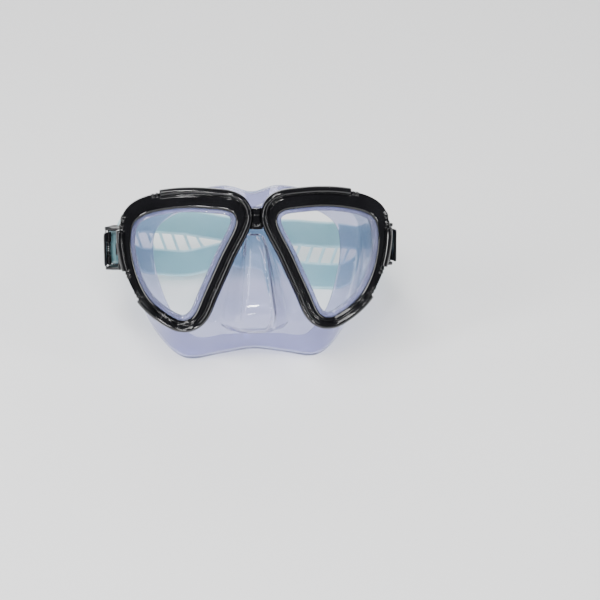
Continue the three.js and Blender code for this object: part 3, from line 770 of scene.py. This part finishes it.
def strap_outline(run, height):
    """Roughly how far outside the strap's flat outline a point is, in mm; negative inside."""
    distance = np.abs(run)
    wide = STRAP_WAIST + (STRAP_WIDE - STRAP_WAIST) * smooth_step(distance, 4, 42)
    wide = wide + (STRAP_NARROW - wide) * smooth_step(distance, 60, 98)
    outside = np.abs(height) - wide / 2
    split = split_half(distance)
    slot = np.abs(height) - split
    lean = -RIB_SLANT / 2 * np.clip(height / np.maximum(split, 1), -1, 1)
    for middle in np.arange(RIB_FROM, SPLIT_TO, RIB_PITCH):
        rib = np.abs(distance - middle + lean) - RIB_WIDTH / 2
        slot = np.maximum(slot, -rib)
    return np.maximum(outside, -slot)


def flat_strap(length):
    """The strap laid out flat: points as (along, up, through) and faces."""
    run = np.arange(-length / 2 - 1.5, length / 2 + 1.5, STRAP_STEP[0])
    height = np.arange(-STRAP_WIDE / 2 - 1.5, STRAP_WIDE / 2 + 1.5, STRAP_STEP[1])
    depth = np.arange(-STRAP_THICK / 2 - 0.8, STRAP_THICK / 2 + 0.9, STRAP_STEP[2])
    flat = strap_outline(run[:, None], height[None, :])
    flat = np.maximum(flat, np.abs(run)[:, None] - length / 2)
    half = STRAP_THICK / 2 - STRAP_DISH * smooth_step(-flat, 1.0, 2.2)
    beside = flat[..., None] + STRAP_CORNER
    above = np.abs(depth)[None, None, :] - half[..., None] + STRAP_CORNER
    values = np.minimum(np.maximum(beside, above), 0)
    values = values + np.hypot(np.maximum(beside, 0), np.maximum(above, 0)) - STRAP_CORNER
    grid = vdb.FloatGrid(float(values.max()))
    grid.copyFromArray(np.ascontiguousarray(values, np.float32))
    points, triangles, quads = grid.convertToPolygons(isovalue=0.0, adaptivity=0.0)
    faces = [tuple(f[::-1]) for f in quads] + [tuple(f[::-1]) for f in triangles]
    return points * STRAP_STEP + [run[0], height[0], depth[0]], faces


def strap():
    """The strap, carved flat and then bent along its route. Its rims are marked for the painted
    highlight that its material puts along them.
    """
    line, far, side = strap_line()
    length = far[-1]
    flat_points, faces = flat_strap(length)
    at = flat_points[:, 0] + length / 2
    x = np.interp(at, far, line[:, 0])
    y = np.interp(at, far, line[:, 1])
    side_x = np.interp(at, far, side[:, 0])
    side_y = np.interp(at, far, side[:, 1])
    arch = STRAP_ARCH * (1 - smooth_step(np.abs(x), 0, 45))
    drop = smooth_step(y, SAG_FROM, STRAP_BACK) * (STRAP_SAG + STRAP_ROLL * x - arch)
    bent = np.stack(
        [
            x + side_x * flat_points[:, 2],
            y + side_y * flat_points[:, 2],
            PIVOT[2] + flat_points[:, 1] - drop,
        ],
        axis=1,
    )
    piece = mesh_object("strap_band", place(bent), faces)
    # Marks the rims, along which the material paints a paler highlight.
    inside = -strap_outline(flat_points[:, 0], flat_points[:, 1])
    rim_highlight = piece.data.attributes.new("rim_highlight", "FLOAT", "POINT")
    rim_highlight.data.foreach_set("value", 1 - smooth_step(inside, 0.3, 2.0))
    return piece


# ---------------------------------------------------------------- materials
def new_material(name):
    material = bpy.data.materials.new(name)
    material.use_nodes = True
    nodes = material.node_tree.nodes
    return material, nodes, material.node_tree.links, nodes["Principled BSDF"]


def noise(nodes, links, scale, detail=4.0):
    """Noise in the piece's own coordinates, in metres."""
    where = nodes.new("ShaderNodeTexCoord")
    texture = nodes.new("ShaderNodeTexNoise")
    texture.inputs["Scale"].default_value = scale
    texture.inputs["Detail"].default_value = detail
    links.new(where.outputs["Object"], texture.inputs["Vector"])
    return texture.outputs["Fac"]


def ranged(nodes, links, value, low, high):
    """A 0 to 1 value spread between low and high."""
    spread = nodes.new("ShaderNodeMapRange")
    spread.inputs["From Min"].default_value = 0.3
    spread.inputs["From Max"].default_value = 0.7
    spread.inputs["To Min"].default_value = low
    spread.inputs["To Max"].default_value = high
    links.new(value, spread.inputs["Value"])
    return spread.outputs["Result"]


def bumped(nodes, links, shader, height, strength, distance):
    bump = nodes.new("ShaderNodeBump")
    bump.inputs["Strength"].default_value = strength
    bump.inputs["Distance"].default_value = distance
    links.new(height, bump.inputs["Height"])
    links.new(bump.outputs["Normal"], shader.inputs["Normal"])


def ramped(nodes, links, value, low, high):
    """A colour between low and high."""
    ramp = nodes.new("ShaderNodeValToRGB")
    ramp.color_ramp.elements[0].position = 0.3
    ramp.color_ramp.elements[1].position = 0.7
    ramp.color_ramp.elements[0].color = (*low, 1)
    ramp.color_ramp.elements[1].color = (*high, 1)
    links.new(value, ramp.inputs["Fac"])
    return ramp.outputs["Color"]


def tinted(nodes, links, shader, value, low, high):
    links.new(ramped(nodes, links, value, low, high), shader.inputs["Base Color"])


def worn(nodes, links, colour, worn_colour):
    """A base colour that turns greyer along sharp edges, where handling polishes them."""
    shape = nodes.new("ShaderNodeNewGeometry")
    edge = nodes.new("ShaderNodeMapRange")
    edge.inputs["From Min"].default_value = 0.56
    edge.inputs["From Max"].default_value = 0.7
    links.new(shape.outputs["Pointiness"], edge.inputs["Value"])
    mix = nodes.new("ShaderNodeMix")
    mix.data_type = "RGBA"
    mix.inputs["B"].default_value = (*worn_colour, 1)
    links.new(edge.outputs["Result"], mix.inputs["Factor"])
    links.new(colour, mix.inputs["A"])
    return mix.outputs["Result"]


def gloss_black():
    material, nodes, links, shader = new_material("gloss_black")
    base = ramped(nodes, links, noise(nodes, links, 60), (0.002, 0.002, 0.0025), (0.005, 0.005, 0.006))
    links.new(worn(nodes, links, base, (0.03, 0.03, 0.032)), shader.inputs["Base Color"])
    links.new(
        ranged(nodes, links, noise(nodes, links, 200, 4), 0.04, 0.09), shader.inputs["Roughness"]
    )
    bumped(nodes, links, shader, noise(nodes, links, 350), 0.05, 0.0002)
    return material


def satin_black():
    material, nodes, links, shader = new_material("satin_black")
    base = ramped(nodes, links, noise(nodes, links, 80), (0.005, 0.005, 0.006), (0.01, 0.01, 0.012))
    links.new(worn(nodes, links, base, (0.035, 0.035, 0.037)), shader.inputs["Base Color"])
    links.new(
        ranged(nodes, links, noise(nodes, links, 250, 4), 0.29, 0.37), shader.inputs["Roughness"]
    )
    bumped(nodes, links, shader, noise(nodes, links, 1500), 0.08, 0.0002)
    return material


def steel():
    material, nodes, links, shader = new_material("steel")
    shader.inputs["Metallic"].default_value = 1.0
    tinted(nodes, links, shader, noise(nodes, links, 300), (0.5, 0.51, 0.52), (0.64, 0.65, 0.66))
    links.new(
        ranged(nodes, links, noise(nodes, links, 1500, 6), 0.16, 0.25), shader.inputs["Roughness"]
    )
    bumped(nodes, links, shader, noise(nodes, links, 5000), 0.1, 0.0001)
    return material


def let_lamps_through(material, nodes, links, shader, tint):
    """Lamps shine through the piece, so that it casts only a faint shadow."""
    path = nodes.new("ShaderNodeLightPath")
    clear = nodes.new("ShaderNodeBsdfTransparent")
    clear.inputs["Color"].default_value = (*tint, 1)
    mix = nodes.new("ShaderNodeMixShader")
    output = nodes["Material Output"]
    links.new(path.outputs["Is Shadow Ray"], mix.inputs["Fac"])
    links.new(shader.outputs["BSDF"], mix.inputs[1])
    links.new(clear.outputs["BSDF"], mix.inputs[2])
    links.new(mix.outputs["Shader"], output.inputs["Surface"])


def window_glass():
    material, nodes, links, shader = new_material("window_glass")
    shader.inputs["Transmission Weight"].default_value = 1.0
    shader.inputs["IOR"].default_value = 1.5
    shader.inputs["Base Color"].default_value = (0.97, 0.99, 0.985, 1)
    links.new(
        ranged(nodes, links, noise(nodes, links, 120, 5), 0.0, 0.03), shader.inputs["Roughness"]
    )
    let_lamps_through(material, nodes, links, shader, (0.92, 0.94, 0.93))
    return material


def clear_silicone():
    material, nodes, links, shader = new_material("clear_silicone")
    shader.inputs["Transmission Weight"].default_value = 0.92
    shader.inputs["IOR"].default_value = 1.43
    tinted(nodes, links, shader, noise(nodes, links, 40), (0.5, 0.51, 0.69), (0.57, 0.58, 0.76))
    links.new(
        ranged(nodes, links, noise(nodes, links, 120, 3), 0.04, 0.08), shader.inputs["Roughness"]
    )
    bumped(nodes, links, shader, noise(nodes, links, 260), 0.06, 0.0004)
    let_lamps_through(material, nodes, links, shader, (0.72, 0.73, 0.8))
    return material


def blue_silicone():
    """Pale blue and cloudy. Along its rims, where the strap is thickest, a paler blue is painted in as
    a highlight.
    """
    material, nodes, links, shader = new_material("blue_silicone")
    shader.inputs["Transmission Weight"].default_value = 0.22
    shader.inputs["IOR"].default_value = 1.36
    base = ramped(nodes, links, noise(nodes, links, 50), (0.17, 0.34, 0.38), (0.22, 0.39, 0.43))
    # Painted highlight: a paler blue in the base colour along the rims, standing in for light that
    # they catch.
    rim_highlight = nodes.new("ShaderNodeAttribute")
    rim_highlight.attribute_name = "rim_highlight"
    mix = nodes.new("ShaderNodeMix")
    mix.data_type = "RGBA"
    mix.inputs["B"].default_value = (0.44, 0.62, 0.66, 1)
    links.new(rim_highlight.outputs["Fac"], mix.inputs["Factor"])
    links.new(base, mix.inputs["A"])
    links.new(mix.outputs["Result"], shader.inputs["Base Color"])
    links.new(
        ranged(nodes, links, noise(nodes, links, 90, 3), 0.3, 0.37), shader.inputs["Roughness"]
    )
    bumped(nodes, links, shader, noise(nodes, links, 120, 2), 0.03, 0.0003)
    let_lamps_through(material, nodes, links, shader, (0.5, 0.65, 0.7))
    return material


def dress(pieces, material, body):
    """New pieces get their material and the body that they move with."""
    for piece in pieces:
        piece.data.materials.clear()
        piece.data.materials.append(material)
        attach(piece, body)


def dress_nodes(names, material, bevel=None):
    """A CAD node that is kept gets its material, and eased edges when a bevel width is given."""
    for name in names:
        node = frame["nodes"][name]
        node.data.materials.clear()
        node.data.materials.append(material)
        if bevel:
            edges = node.modifiers.new("eased_edges", "BEVEL")
            edges.width = bevel
            edges.segments = 3
            edges.limit_method = "ANGLE"
            edges.angle_limit = math.radians(40)
            edges.harden_normals = False


# ---------------------------------------------------------------- build the mask
black = gloss_black()
satin = satin_black()
metal = steel()
glass = window_glass()
silicone = clear_silicone()
band = blue_silicone()

for side_name, mirror in (("left", False), ("right", True)):
    ring = bezel(f"bezel_ring_{side_name}", mirror)
    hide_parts(f"bezel_{side_name}")
    pane = window(f"window_{side_name}", mirror)
    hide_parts(f"lens_{side_name}")
    dress([ring], black, "mask")
    dress([pane], glass, "mask")

    for make, piece_name, node, body, finish, slot_name in (
        (stud, "stud", "pivot_stud", "mask", satin, "black_moulding"),
        (buckle_body, "buckle", "buckle_body", "harness", satin, "black_moulding"),
        (lever, "lever", "release_lever", f"lever_{side_name}", satin, "black_moulding"),
        (keeper, "keeper", "strap_keeper", f"keeper_{side_name}", band, "blue_silicone"),
    ):
        piece = make(f"{piece_name}_{side_name}", mirror)
        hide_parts(f"{node}_{side_name}")
        dress([piece], finish, body)

frame_pieces = [frame_ring("frame_left", False), frame_ring("frame_right", True)]
frame_pieces += [lug("lug_left", False), lug("lug_right", True), bridge("bridge")]
for piece in frame_pieces:
    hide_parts("main_frame")
dress(frame_pieces, black, "mask")
cover = bridge_cover("bridge_plate")
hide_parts("bridge_cover")
dress([cover], black, "mask")
shell = skirt()
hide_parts("skirt")
dress([shell], silicone, "mask")
head_band = strap()
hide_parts("head_strap")
dress([head_band], band, "harness")

sides = ("left", "right")
dress_nodes([f"strap_roller_{s}" for s in sides], satin, 0.0003)
for part in ("roller_axle", "lever_pin", "lever_spring"):
    dress_nodes([f"{part}_{s}" for s in sides], metal)


# ---------------------------------------------------------------- stage, in metres
FLOOR_REACH = 6.0
LAMPS = [
    ("key", (-0.35, -0.1, 1.3), 1.1, (1.0, 0.3), 8),
    ("left_strip", (-1.3, -0.5, 0.7), 1.0, (0.15, 0.8), 8),
    ("right_strip", (1.3, -0.4, 0.7), 1.0, (0.12, 0.8), 5),
    ("back", (0.2, 1.0, 0.7), 1.2, (1.2, 0.2), 5),
]  # name, direction from the mask, distance and size in metres, and watts


def floor():
    data = bpy.data.meshes.new("floor")
    corners = [
        (-FLOOR_REACH, -FLOOR_REACH, 0), (FLOOR_REACH, -FLOOR_REACH, 0),
        (FLOOR_REACH, FLOOR_REACH, 0), (-FLOOR_REACH, FLOOR_REACH, 0),
    ]
    data.from_pydata(corners, [], [(0, 1, 2, 3)])
    piece = bpy.data.objects.new("floor", data)
    bpy.context.scene.collection.objects.link(piece)
    material, nodes, links, shader = new_material("floor")
    shader.inputs["Base Color"].default_value = (0.78, 0.78, 0.78, 1)
    shader.inputs["Roughness"].default_value = 0.8
    shader.inputs["Specular IOR Level"].default_value = 0.15
    data.materials.append(material)


def area_light(name, direction, distance, size, power, aim):
    """A lamp that lights the mask and shows in its gloss, but isn't seen itself."""
    lamp = bpy.data.lights.new(name, "AREA")
    lamp.shape = "RECTANGLE"
    lamp.size, lamp.size_y = size
    lamp.energy = power
    holder = bpy.data.objects.new(name, lamp)
    holder.visible_camera = False
    holder.location = aim + Vector(direction).normalized() * distance
    holder.rotation_euler = (aim - holder.location).to_track_quat("-Z", "Y").to_euler()
    bpy.context.scene.collection.objects.link(holder)


def lights(aim):
    for name, direction, distance, size, power in LAMPS:
        area_light(name, direction, distance, size, power, aim)
    for number in (1, 2, 3):
        aside = number - 2
        low_front = (0.16 * aside - 0.1, -1.0, 0.12)
        area_light(f"front_lamp_{number}", low_front, 1.1, (0.06, 0.06), 1.5, aim)
        high_front = (0.2 * aside - 0.1, -0.75, 1.0)
        area_light(f"ceiling_lamp_{number}", high_front, 1.3, (0.07, 0.07), 2.5, aim)
    sun = bpy.data.lights.new("daylight", "SUN")
    sun.energy = 2.3
    sun.angle = math.radians(50)
    holder = bpy.data.objects.new("daylight", sun)
    holder.visible_glossy = False
    holder.rotation_euler = (math.radians(25), math.radians(-15), 0)
    bpy.context.scene.collection.objects.link(holder)


def world():
    """A dim studio, with a pale wall where the camera looks past the floor."""
    studio = bpy.data.worlds.new("studio")
    studio.use_nodes = True
    nodes = studio.node_tree.nodes
    links = studio.node_tree.links
    dim = nodes["Background"]
    dim.inputs["Color"].default_value = (0.9, 0.93, 1.0, 1)
    dim.inputs["Strength"].default_value = 0.14
    pale = nodes.new("ShaderNodeBackground")
    pale.inputs["Color"].default_value = (0.6, 0.6, 0.61, 1)
    path = nodes.new("ShaderNodeLightPath")
    mix = nodes.new("ShaderNodeMixShader")
    links.new(path.outputs["Is Camera Ray"], mix.inputs["Fac"])
    links.new(dim.outputs["Background"], mix.inputs[1])
    links.new(pale.outputs["Background"], mix.inputs[2])
    links.new(mix.outputs["Shader"], nodes["World Output"].inputs["Surface"])
    bpy.context.scene.world = studio


# The camera looks at the mask's middle from a little to the wearer's right and 6.5 degrees above
# the way the windows face. It is level with the mask, which sits left of and above the middle of
# the picture.
LENS = 80.0
SENSOR = 36.0
FRAME_WIDTH = 0.357  # width of the picture at the mask, in metres
CAMERA_AROUND = math.radians(-6.0)
CAMERA_ABOVE = math.radians(6.5)
OFFSET_RIGHT = 0.0725  # of the picture's width, from the mask's middle to the picture's
OFFSET_DOWN = 0.0833


def camera():
    middle = Vector(place([0, 0, 0]))
    across, inward, upright = (Vector(axis) for axis in mask_axes)
    towards = (
        across * math.sin(CAMERA_AROUND) * math.cos(CAMERA_ABOVE)
        - inward * math.cos(CAMERA_AROUND) * math.cos(CAMERA_ABOVE)
        + upright * math.sin(CAMERA_ABOVE)
    )
    data = bpy.data.cameras.new("camera")
    data.lens = LENS
    data.sensor_width = SENSOR
    holder = bpy.data.objects.new("camera", data)
    bpy.context.scene.collection.objects.link(holder)
    stand = middle + towards * FRAME_WIDTH * LENS / SENSOR
    right = upright.cross(towards).normalized()
    up = towards.cross(right)
    aim = middle + right * FRAME_WIDTH * OFFSET_RIGHT - up * FRAME_WIDTH * OFFSET_DOWN
    looking = (stand - aim).normalized()
    right = upright.cross(looking).normalized()
    turn = Matrix((right, looking.cross(right), looking)).transposed()
    holder.matrix_world = Matrix.Translation(stand) @ turn.to_4x4()
    bpy.context.scene.camera = holder
    return middle


floor()
world()
lights(camera())
